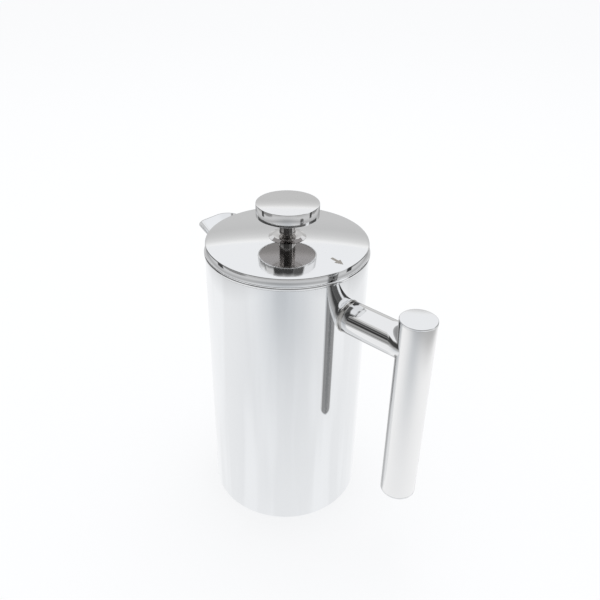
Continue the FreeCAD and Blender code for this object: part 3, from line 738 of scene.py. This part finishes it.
@dataclass
class Lid:
    """Crowned lid with its skirt, arrow, strainer ring and rod bushing."""

    wall: float = 0.001
    taper: float = 0.0004
    edge: float = 0.0005
    crown_rise: float = 0.0022
    hem: float = 0.0004
    arrow_tail: float = 0.0365
    arrow_neck: float = 0.0410
    arrow_tip: float = 0.0456
    arrow_shaft: float = 0.00095
    arrow_head: float = 0.0026
    arrow_turn: float = -3.0
    mark: float = 0.00004
    bushing_radius: float = 0.006
    bushing_edge: float = 0.0003
    flange_edge: float = 0.0002
    flange_slope: float = 0.0024
    arrow_parts: int = 12
    running_gap: float = 0.00005
    radius: float = field(default_factory=lambda: radius_of("lid_cover"))
    low: float = field(default_factory=lambda: bottom_of("lid_cover"))
    top: float = field(default_factory=lambda: top_of("lid_cover"))

    def build(self) -> None:
        """Make and dress the lid's pieces."""
        self.cover()
        self.arrow()
        self.bushing()
        dress_node("strainer_ring", INSIDE)
        dress_node("bushing_clip", INSIDE)

    def surface(self) -> list[Corner]:
        """Points of the crowned top from its edge to the bushing."""
        return crown(self.bushing_radius + self.running_gap, self.radius - self.taper,
                     self.top - self.crown_rise, self.crown_rise)

    def cover(self) -> None:
        """Lid with a rolled edge and a tapered skirt."""
        hole = self.bushing_radius + self.running_gap
        inside = self.radius - self.taper - self.wall
        rim = self.top - self.crown_rise
        under = crown(hole, inside, rim - self.wall, self.crown_rise)
        surface = self.surface()
        surface[0].fillet = self.edge
        piece = turned("lid", [
            *reversed(under), Corner(self.radius - self.wall, self.low),
            Corner(self.radius, self.low, self.hem), *surface])
        finish_piece(piece, "lid", LID, ("lid_cover",))

    def arrow(self) -> None:
        """Thin etched arrow towards the handle that follows the crown."""
        bm = bmesh.new()
        half = [(self.arrow_tail, self.arrow_shaft), (self.arrow_neck, self.arrow_shaft),
                (self.arrow_neck, self.arrow_head), (self.arrow_tip, 0.0)]
        points = half + [(x, -y) for x, y in reversed(half[:-1])]
        face = bm.faces.new([bm.verts.new((x, y, 0)) for x, y in points])
        made = bmesh.ops.extrude_face_region(bm, geom=[face])["geom"]
        raised = [item for item in made if isinstance(item, bmesh.types.BMVert)]
        bmesh.ops.translate(bm, verts=raised, vec=(0, 0, self.mark * 2))
        for step in range(1, self.arrow_parts):
            place = self.arrow_tail + (self.arrow_tip - self.arrow_tail) * step / self.arrow_parts
            bmesh.ops.bisect_plane(bm, geom=bm.verts[:] + bm.edges[:] + bm.faces[:], dist=FINE,
                                   plane_co=(place, 0, 0), plane_no=(1, 0, 0))
        surface = self.surface()
        for point in bm.verts:
            across = math.hypot(point.co.x, point.co.y)
            after = next(i for i, mark in enumerate(surface) if mark.radius < across)
            outer, inner = surface[after - 1], surface[after]
            share = (across - outer.radius) / (inner.radius - outer.radius)
            ground = outer.height + (inner.height - outer.height) * share
            point.co.z += ground - self.mark
        bmesh.ops.rotate(bm, verts=bm.verts, cent=(0, 0, 0),
                         matrix=Matrix.Rotation(math.radians(self.arrow_turn), 3, UP))
        bmesh.ops.recalc_face_normals(bm, faces=bm.faces)
        finish_piece(to_object(bm, "handle_arrow"), "lid", ETCH)

    def bushing(self) -> None:
        """Bushing in the lid's middle with a sloped flange."""
        low, high = bottom_of("rod_bushing"), top_of("rod_bushing")
        hole = radius_of("plunger_rod") + self.running_gap
        flange = radius_of("rod_bushing")
        piece = turned("rod_flange", [
            Corner(hole, low), Corner(self.bushing_radius, low, self.bushing_edge),
            Corner(self.bushing_radius, self.top), Corner(flange, self.top),
            Corner(flange - self.flange_slope, high, self.flange_edge),
            Corner(hole, high, self.bushing_edge)])
        finish_piece(piece, "rod_guide", FLANGE, ("rod_bushing",))


@dataclass
class Plunger:
    """Knob, rod and filter stack."""

    knob_wall: float = 0.0009
    knob_edge: float = 0.0004
    collar_edge: float = 0.0007
    socket: float = 0.002
    thread: float = 0.0025
    thread_depth: float = 0.0003
    thread_pitch: float = 0.0008
    wire: float = 0.00022
    coil_turns: int = 300
    coil_points: int = 10
    weave_pitch: float = 0.0013
    weave_wire: float = 0.00014
    weave_lift: float = 0.9
    rim_rings: int = 6
    ring_points: int = 64
    running_gap: float = 0.00005
    bore_edge: float = 0.0002
    spigot_share: float = 0.76

    def build(self) -> None:
        """Make and dress the plunger's pieces."""
        self.knob()
        self.collar()
        self.rod()
        self.coil()
        self.weave("woven_disc", "lower_mesh")
        self.weave("woven_dish", "upper_mesh")
        for node in ("jam_nut", "stack_washer", "spiral_plate", "mesh_spacer",
                     "cross_plate", "filter_nut"):
            dress_node(node, FILTER)

    def knob(self) -> None:
        """Disc knob, a shallow cup closed by a plate."""
        low, high = bottom_of("knob_cap"), top_of("knob_cap")
        radius = radius_of("knob_cap")
        inside = radius - self.knob_wall
        piece = turned("knob_disc", [
            Corner(0.0, high - self.knob_wall), Corner(inside, high - self.knob_wall),
            Corner(inside, low), Corner(radius, low, self.knob_edge),
            Corner(radius, high, self.knob_edge), Corner(0.0, high)], closed=False)
        finish_piece(piece, "knob", KNOB, ("knob_cap",))
        # The plate under the knob gets the dark painted-shade tone.
        dress_node("knob_plate", KNOB_UNDER_SHADED)

    def collar(self) -> None:
        """Collar under the knob with a rounded foot."""
        low, high = bottom_of("knob_collar"), bottom_of("knob_plate")
        radius = radius_of("knob_collar")
        hole = radius_of("plunger_rod") + self.running_gap
        end = top_of("knob_collar")
        piece = turned("knob_neck", [
            Corner(0.0, low + self.socket), Corner(hole, low + self.socket),
            Corner(hole, low, self.bore_edge), Corner(radius, low, self.collar_edge),
            Corner(radius, high), Corner(radius * self.spigot_share, high),
            Corner(radius * self.spigot_share, end),
            Corner(0.0, end)], closed=False)
        finish_piece(piece, "knob", STEM, ("knob_collar",))

    def rod(self) -> None:
        """Rod with threaded ends."""
        low, high = bottom_of("plunger_rod"), top_of("plunger_rod")
        radius = radius_of("plunger_rod")
        shoulder_low = top_of("jam_nut") + 0.0004
        shoulder_high = bottom_of("knob_collar") + self.socket
        corners = [Corner(0.0, low), *self.threads(low, shoulder_low),
                   Corner(self.thread, shoulder_low), Corner(radius, shoulder_low, 0.0003),
                   Corner(radius, shoulder_high, 0.0003), Corner(self.thread, shoulder_high),
                   *self.threads(shoulder_high, high), Corner(0.0, high)]
        piece = turned("plunger_shaft", corners, closed=False, steps=96)
        finish_piece(piece, "plunger", STEM, ("plunger_rod",))

    def threads(self, low: float, high: float) -> list[Corner]:
        """Ridges of a thread between two heights."""
        count = int((high - low) / self.thread_pitch)
        points = []
        for i in range(count):
            base = low + (i + 0.5) * (high - low) / count
            points.append(Corner(self.thread - self.thread_depth, base - self.thread_pitch / 4))
            points.append(Corner(self.thread, base + self.thread_pitch / 4))
        return points

    def coil(self) -> None:
        """Fine coil spring bent to a ring."""
        low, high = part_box("coil_spring")
        section = (high.z - low.z) / 2 - self.wire
        ring = high.x - (high.z - low.z) / 2
        data = bpy.data.curves.new("coil_line", "CURVE")
        data.dimensions = "3D"
        data.bevel_depth = self.wire
        data.bevel_resolution = 0
        count = self.coil_turns * self.coil_points
        line = data.splines.new("POLY")
        line.points.add(count - 1)
        line.use_cyclic_u = True
        for i, point in enumerate(line.points):
            turn = math.tau * i / self.coil_points
            around = math.tau * i / count
            reach = ring + section * math.cos(turn)
            point.co = (reach * math.cos(around), reach * math.sin(around),
                        (low.z + high.z) / 2 + section * math.sin(turn), 1)
        finish_piece(wire_piece(data, "coil_wire"), "filter", WIRE,
                     ("coil_spring",))

    def weave(self, name: str, node: str) -> None:
        """Plain woven wire disc; a dish also has its turned-up rim.

        Args:
            name: the piece's name.
            node: the CAD node that it stands for.
        """
        low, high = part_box(node)
        radius = high.x - self.weave_wire * 2
        level = low.z + self.weave_wire * 2
        data = bpy.data.curves.new(name + "_line", "CURVE")
        data.dimensions = "3D"
        data.bevel_depth = self.weave_wire
        data.bevel_resolution = 0
        half = int(radius / self.weave_pitch)
        for along_x in (True, False):
            for i in range(-half, half + 1):
                self.wire_line(data, i, along_x, radius, level)
        if high.z - low.z > 0.001:
            for i in range(self.rim_rings + 1):
                ring = data.splines.new("NURBS")
                ring.points.add(self.ring_points - 1)
                rise = level + (high.z - self.weave_wire - level) * i / self.rim_rings
                for k, point in enumerate(ring.points):
                    angle = math.tau * k / self.ring_points
                    point.co = (radius * math.cos(angle), radius * math.sin(angle), rise, 1)
                ring.use_cyclic_u = True
        finish_piece(wire_piece(data, name), "filter", WIRE, (node,))

    def wire_line(self, data: bpy.types.Curve, number: int, along_x: bool, radius: float,
                  level: float) -> None:
        """One wire that goes over and under the wires across it."""
        offset = number * self.weave_pitch
        reach = int(math.sqrt(max(radius ** 2 - offset ** 2, 0.0)) / self.weave_pitch)
        if reach < 1:
            return
        wire = data.splines.new("POLY")
        wire.points.add(2 * reach)
        for k, point in enumerate(wire.points):
            place = (k - reach) * self.weave_pitch
            over = 1 if (k - reach + number) % 2 == 0 else -1
            lift = over * self.weave_wire * (self.weave_lift if along_x else -self.weave_lift)
            x, y = (place, offset) if along_x else (offset, place)
            point.co = (x, y, level + lift, 1)


# ------------------------------------------------------------------ studio


@dataclass
class Studio:
    """Floor, reflecting cards, lamps and camera."""

    bearing: float = -46.995
    reach: float = 0.36965
    height: float = 0.3685
    pitch: float = 31.14
    yaw: float = 1.294
    roll: float = 1.181
    lens: float = 40.56
    wall_distance: float = 0.94
    wall_width: float = 3.0
    card_core: float = 0.6
    side_stretch: float = 1.18
    wall_height: float = 0.69
    wall_tones: tuple[tuple[float, float], ...] = (
        (0.0, 0.9), (0.40, 0.64), (0.575, 0.58), (0.62, 0.64), (0.655, 0.76), (0.685, 1.0))
    floor_span: float = 2.0
    # Painted shade of the floor, seen only in steel: pairs of distance and lightness.
    painted_floor_shades: tuple[tuple[float, float], ...] = (
        (0.0, 1.0), (0.36, 0.98), (0.41, 0.84), (0.46, 0.58), (0.50, 0.44), (0.54, 0.56), (0.62, 0.66),
        (0.8, 0.5))
    # Painted shadow pool on the floor between the pot and the camera, seen only in steel.
    shadow_pool_radius: float = 0.215
    shadow_pool_turn: float = -4.0
    shadow_pool_tone: tuple[float, float, float, float] = (0.66, 0.68, 0.70, 1.0)
    screens: tuple[tuple[str, float, float, float, float, tuple], ...] = (
        ("left_post", -96.0, 0.49, 0.12, 0.60, ((0.0, 0.06), (0.40, 0.06), (0.60, 0.5))),
        ("left_screen", -116.0, 0.55, 0.40, 0.62,
         ((0.0, 0.55), (0.06, 0.30), (0.14, 0.08), (0.45, 0.10), (0.55, 0.35), (0.62, 0.8))),
        ("left_front_screen", -74.0, 0.56, 0.50, 0.72,
         ((0.0, 0.24), (0.17, 0.40), (0.20, 0.05), (0.30, 0.03), (0.335, 0.28), (0.36, 0.04),
          (0.43, 0.08), (0.50, 0.50), (0.525, 0.12), (0.58, 0.7))),
        ("camera_screen_left", -38.0, 0.66, 0.74, 0.95,
         ((0.0, 0.5), (0.12, 0.35), (0.30, 0.06), (0.75, 0.05), (0.95, 0.6))),
        ("camera_screen", 4.0, 0.68, 0.74, 0.95,
         ((0.0, 0.5), (0.14, 0.4), (0.32, 0.06), (0.75, 0.05), (0.95, 0.6))),
        ("camera_screen_right", 46.0, 0.64, 0.66, 0.95,
         ((0.0, 0.5), (0.20, 0.45), (0.36, 0.12), (0.75, 0.10), (0.95, 0.6))),
        ("right_post", 87.0, 0.49, 0.10, 0.50,
         ((0.0, 0.05), (0.32, 0.05), (0.40, 0.35), (0.50, 0.9))),
        ("right_screen", 106.0, 0.55, 0.52, 0.52,
         ((0.0, 0.30), (0.12, 0.12), (0.34, 0.03), (0.42, 0.20), (0.50, 0.9))))


    def build(self) -> None:
        """Set the whole studio."""
        scene = bpy.context.scene
        scene.view_settings.view_transform = "Standard"
        self.camera()
        self.world()
        self.floor()
        self.back_wall()
        self.lamps()

    def foot(self) -> Vector:
        """Point of the floor under the camera."""
        angle = math.radians(self.bearing)
        return Vector((math.cos(angle), math.sin(angle), 0)) * self.reach

    def camera(self) -> None:
        """Stand the camera at the viewing angle."""
        data = bpy.data.cameras.new("camera")
        data.sensor_width = 36.0
        data.lens = self.lens
        data.clip_start = 0.01
        camera = bpy.data.objects.new("camera", data)
        inward = -self.foot().normalized()
        heading = Matrix.Rotation(-math.radians(self.yaw), 3, UP) @ inward
        pitch = math.radians(self.pitch)
        ahead = heading * math.cos(pitch) - UP * math.sin(pitch)
        right = ahead.cross(UP).normalized()
        over = right.cross(ahead)
        roll = math.radians(self.roll)
        right, over = (right * math.cos(roll) + over * math.sin(roll),
                       over * math.cos(roll) - right * math.sin(roll))
        turn = Matrix((right, over, -ahead)).transposed().to_4x4()
        camera.matrix_world = Matrix.Translation(self.foot() + UP * self.height) @ turn
        bpy.context.scene.collection.objects.link(camera)
        bpy.context.scene.camera = camera

    def world(self) -> None:
        """Even pale surroundings."""
        world = bpy.data.worlds.new("surroundings")
        world.use_nodes = True
        sky = world.node_tree.nodes["Background"]
        sky.inputs["Color"].default_value = (0.97, 0.98, 1.0, 1.0)
        sky.inputs["Strength"].default_value = 0.95
        bpy.context.scene.world = world

    def floor(self) -> None:
        """Pale floor, as light as the backdrop to the camera; steel sees it with painted shade and a
        painted shadow pool.
        """
        bm = bmesh.new()
        bmesh.ops.create_grid(bm, x_segments=1, y_segments=1, size=4.0)
        floor = to_object(bm, "floor")
        made = bpy.data.materials.new("floor")
        made.use_nodes = True
        tree = made.node_tree
        tree.nodes.clear()
        output = tree.nodes.new("ShaderNodeOutputMaterial")
        matt = tree.nodes.new("ShaderNodeBsdfDiffuse")
        matt.inputs["Color"].default_value = (0.9, 0.9, 0.9, 1.0)
        glow = tree.nodes.new("ShaderNodeEmission")
        shade = tree.nodes.new("ShaderNodeEmission")
        path = tree.nodes.new("ShaderNodeLightPath")
        seen = tree.nodes.new("ShaderNodeMixShader")
        mirrored = tree.nodes.new("ShaderNodeMixShader")
        share = tree.nodes.new("ShaderNodeMath")
        share.operation = "MULTIPLY"
        share.inputs[1].default_value = 0.8
        glow.inputs["Color"].default_value = (0.985, 0.99, 1.0, 1.0)
        # Glossy and transmission rays see the floor with painted shade and a painted shadow pool.
        tree.links.new(self._front_shade(tree), shade.inputs["Color"])
        either = tree.nodes.new("ShaderNodeMath")
        either.operation = "MAXIMUM"
        tree.links.new(path.outputs["Is Glossy Ray"], either.inputs[0])
        tree.links.new(path.outputs["Is Transmission Ray"], either.inputs[1])
        tree.links.new(path.outputs["Is Camera Ray"], share.inputs[0])
        tree.links.new(share.outputs["Value"], seen.inputs["Fac"])
        tree.links.new(matt.outputs["BSDF"], seen.inputs[1])
        tree.links.new(glow.outputs["Emission"], seen.inputs[2])
        tree.links.new(either.outputs["Value"], mirrored.inputs["Fac"])
        tree.links.new(seen.outputs["Shader"], mirrored.inputs[1])
        tree.links.new(shade.outputs["Emission"], mirrored.inputs[2])
        tree.links.new(mirrored.outputs["Shader"], output.inputs["Surface"])
        floor.data.materials.append(made)

    def _front_shade(self, tree: bpy.types.NodeTree) -> bpy.types.NodeSocket:
        """Painted shade of the floor as steel sees it: paler near the pot, greyer far out, with a
        painted shadow pool in front.
        """
        coordinate = tree.nodes.new("ShaderNodeTexCoord")
        joined = tree.nodes.new("ShaderNodeCombineXYZ")
        ahead = self.foot().normalized()
        for socket, way in (("X", ahead), ("Y", UP.cross(ahead) * self.side_stretch)):
            part = tree.nodes.new("ShaderNodeVectorMath")
            part.operation = "DOT_PRODUCT"
            part.inputs[1].default_value = way
            tree.links.new(coordinate.outputs["Object"], part.inputs[0])
            tree.links.new(part.outputs["Value"], joined.inputs[socket])
        reach = tree.nodes.new("ShaderNodeVectorMath")
        reach.operation = "LENGTH"
        outward = tree.nodes.new("ShaderNodeMapRange")
        outward.inputs["From Max"].default_value = self.floor_span
        ramp = tree.nodes.new("ShaderNodeValToRGB")
        elements = ramp.color_ramp.elements
        while len(elements) < len(self.painted_floor_shades):
            elements.new(0.5)
        for element, (mark, tone) in zip(elements, self.painted_floor_shades):
            element.position = mark / self.floor_span
            element.color = (tone * 0.985, tone * 0.99, tone, 1.0)
        tree.links.new(joined.outputs["Vector"], reach.inputs[0])
        tree.links.new(reach.outputs["Value"], outward.inputs["Value"])
        tree.links.new(outward.outputs["Result"], ramp.inputs["Fac"])
        pool = self._painted_shadow_pool(tree, coordinate.outputs["Object"])
        mix = tree.nodes.new("ShaderNodeMix")
        mix.data_type = "RGBA"
        mix.blend_type = "MULTIPLY"
        mix.inputs["Factor"].default_value = 1.0
        tree.links.new(ramp.outputs["Color"], mix.inputs["A"])
        tree.links.new(pool, mix.inputs["B"])
        return mix.outputs["Result"]

    def _painted_shadow_pool(self, tree: bpy.types.NodeTree,
              place: bpy.types.NodeSocket) -> bpy.types.NodeSocket:
        """Painted soft shadow pool on the floor between the pot and the camera."""
        distance = tree.nodes.new("ShaderNodeVectorMath")
        distance.operation = "DISTANCE"
        distance.inputs[1].default_value = Matrix.Rotation(
            math.radians(self.shadow_pool_turn), 3, UP) @ self.foot()
        square = tree.nodes.new("ShaderNodeMath")
        square.operation = "POWER"
        square.inputs[1].default_value = 2.0
        spread = tree.nodes.new("ShaderNodeMath")
        spread.operation = "DIVIDE"
        spread.inputs[1].default_value = -(self.shadow_pool_radius ** 2)
        fall = tree.nodes.new("ShaderNodeMath")
        fall.operation = "EXPONENT"
        mix = tree.nodes.new("ShaderNodeMix")
        mix.data_type = "RGBA"
        mix.inputs["A"].default_value = (1.0, 1.0, 1.0, 1.0)
        mix.inputs["B"].default_value = self.shadow_pool_tone
        tree.links.new(place, distance.inputs[0])
        tree.links.new(distance.outputs["Value"], square.inputs[0])
        tree.links.new(square.outputs["Value"], spread.inputs[0])
        tree.links.new(spread.outputs["Value"], fall.inputs[0])
        tree.links.new(fall.outputs["Value"], mix.inputs["Factor"])
        return mix.outputs["Result"]

    def card(self, name: str, centre: Vector, facing: Vector, width: float, height: float,
             tones: list[tuple[float, float]]) -> None:
        """Upright reflecting card that only steel sees.

        Args:
            name: the card's name.
            centre: middle of its lower edge.
            facing: level direction that its face looks along.
            width: its width.
            height: its height.
            tones: pairs of height and lightness, from the lower edge up.
        """
        bm = bmesh.new()
        bmesh.ops.create_grid(bm, x_segments=1, y_segments=1, size=0.5)
        bmesh.ops.scale(bm, vec=(width, height, 1), verts=bm.verts)
        bmesh.ops.translate(bm, vec=(0, height / 2, 0), verts=bm.verts)
        side = UP.cross(facing).normalized()
        stand = Matrix((side, UP, facing.normalized())).transposed().to_4x4()
        bmesh.ops.transform(bm, matrix=Matrix.Translation(centre) @ stand, verts=bm.verts)
        card = to_object(bm, name)
        made = bpy.data.materials.new(name)
        made.use_nodes = True
        tree = made.node_tree
        tree.nodes.clear()
        output = tree.nodes.new("ShaderNodeOutputMaterial")
        glow = tree.nodes.new("ShaderNodeEmission")
        coordinate = tree.nodes.new("ShaderNodeTexCoord")
        parts = tree.nodes.new("ShaderNodeSeparateXYZ")
        level = tree.nodes.new("ShaderNodeMapRange")
        level.inputs["From Max"].default_value = height
        ramp = tree.nodes.new("ShaderNodeValToRGB")
        elements = ramp.color_ramp.elements
        while len(elements) < len(tones):
            elements.new(0.5)
        for element, (mark, tone) in zip(elements, tones):
            element.position = mark / height
            element.color = (tone, tone, tone, 1.0)
        tree.links.new(coordinate.outputs["Object"], parts.inputs["Vector"])
        tree.links.new(parts.outputs["Z"], level.inputs["Value"])
        tree.links.new(level.outputs["Result"], ramp.inputs["Fac"])
        tree.links.new(ramp.outputs["Color"], glow.inputs["Color"])
        clear = tree.nodes.new("ShaderNodeBsdfTransparent")
        blend = tree.nodes.new("ShaderNodeMixShader")
        inside = self._inside(tree, coordinate.outputs["Object"], centre, side, width / 2)
        tree.links.new(inside, blend.inputs["Fac"])
        tree.links.new(clear.outputs["BSDF"], blend.inputs[1])
        tree.links.new(glow.outputs["Emission"], blend.inputs[2])
        tree.links.new(blend.outputs["Shader"], output.inputs["Surface"])
        card.data.materials.append(made)
        card.visible_camera = False
        card.visible_diffuse = False
        card.visible_shadow = False

    def _inside(self, tree: bpy.types.NodeTree, place: bpy.types.NodeSocket, centre: Vector,
                side: Vector, half: float) -> bpy.types.NodeSocket:
        """Mask of a card that fades out towards its two upright edges."""
        offset = tree.nodes.new("ShaderNodeVectorMath")
        offset.operation = "SUBTRACT"
        offset.inputs[1].default_value = centre
        along = tree.nodes.new("ShaderNodeVectorMath")
        along.operation = "DOT_PRODUCT"
        along.inputs[1].default_value = side
        distance = tree.nodes.new("ShaderNodeMath")
        distance.operation = "ABSOLUTE"
        fade = tree.nodes.new("ShaderNodeMapRange")
        fade.interpolation_type = "SMOOTHSTEP"
        fade.inputs["From Min"].default_value = half
        fade.inputs["From Max"].default_value = half * self.card_core
        tree.links.new(place, offset.inputs[0])
        tree.links.new(offset.outputs["Vector"], along.inputs[0])
        tree.links.new(along.outputs["Value"], distance.inputs[0])
        tree.links.new(distance.outputs["Value"], fade.inputs["Value"])
        return fade.outputs["Result"]

    def back_wall(self) -> None:
        """Grey backdrop beyond the pot, light along its upper edge, and dark side screens."""
        away = -self.foot().normalized()
        self.card("back_card", away * self.wall_distance, -away, self.wall_width, self.wall_height,
                  list(self.wall_tones))
        for name, turn, distance, width, height, tones in self.screens:
            outward = Matrix.Rotation(math.radians(turn), 3, UP) @ -away
            self.card(name, outward * distance, -outward, width, height, list(tones))

    def lamps(self) -> None:
        """One large soft lamp overhead."""
        data = bpy.data.lights.new("softbox", "AREA")
        data.shape = "DISK"
        data.size = 1.2
        data.energy = 6.0
        lamp = bpy.data.objects.new("softbox", data)
        lamp.location = (-0.2, 0.3, 1.4)
        lamp.rotation_euler = (Vector((0, 0, 0.1)) - lamp.location).to_track_quat(
            "-Z", "Y").to_euler()
        lamp.visible_glossy = False
        bpy.context.scene.collection.objects.link(lamp)


def main() -> None:
    """Build every piece in order."""
    logging.basicConfig(level=logging.INFO, format="%(name)s: %(message)s")
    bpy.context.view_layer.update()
    for part in (Pot(), Handle(), Lid(), Plunger(), Studio()):
        part.build()


if __name__ == "__main__":
    main()
